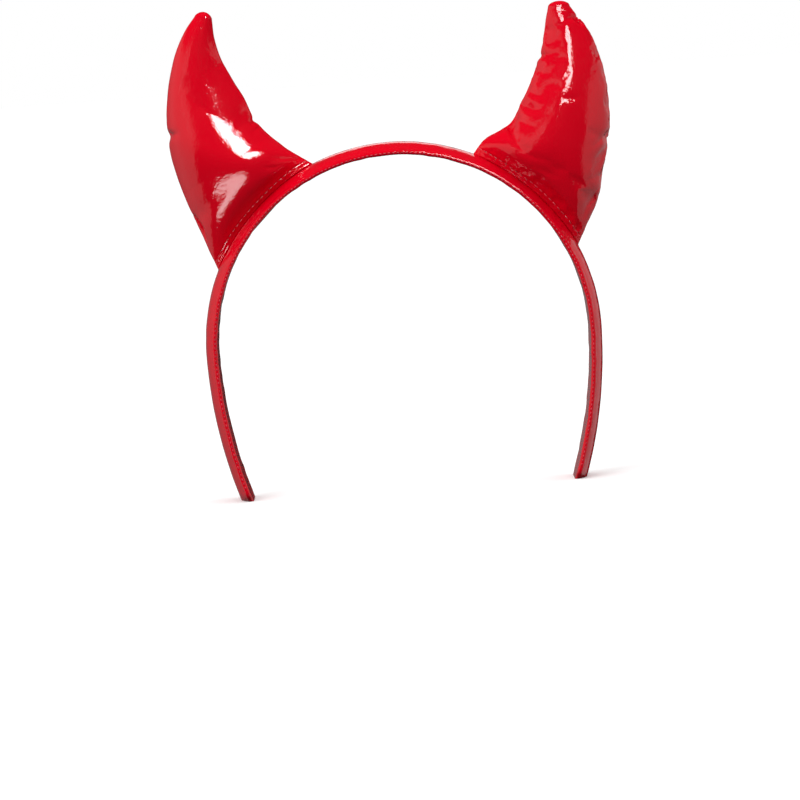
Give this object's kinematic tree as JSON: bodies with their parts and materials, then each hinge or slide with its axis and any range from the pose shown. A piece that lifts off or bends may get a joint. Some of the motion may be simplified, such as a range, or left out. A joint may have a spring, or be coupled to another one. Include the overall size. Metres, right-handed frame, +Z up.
{
  "type": "devil horns headband",
  "caption": "Costume headband with curved stuffed horns in glossy red vinyl, sewn to a padded hoop that is worn over the head from ear to ear.",
  "frame": {"origin": "centre of the base on the surface that the headband's two ends stand on", "axes": "+Z up towards the horns' tips, -Y the way the wearer faces, -X the wearer's right"},
  "size_m": [0.1841, 0.032, 0.2038],
  "materials": {
    "band_vinyl": "gloss",
    "horn_vinyl": "gloss"
  },
  "bodies": {
    "root": {"headband": "band_vinyl", "right_horn_front_panel": "horn_vinyl", "right_horn_back_panel": "horn_vinyl", "left_horn_front_panel": "horn_vinyl", "left_horn_back_panel": "horn_vinyl"}
  },
  "joints": []
}
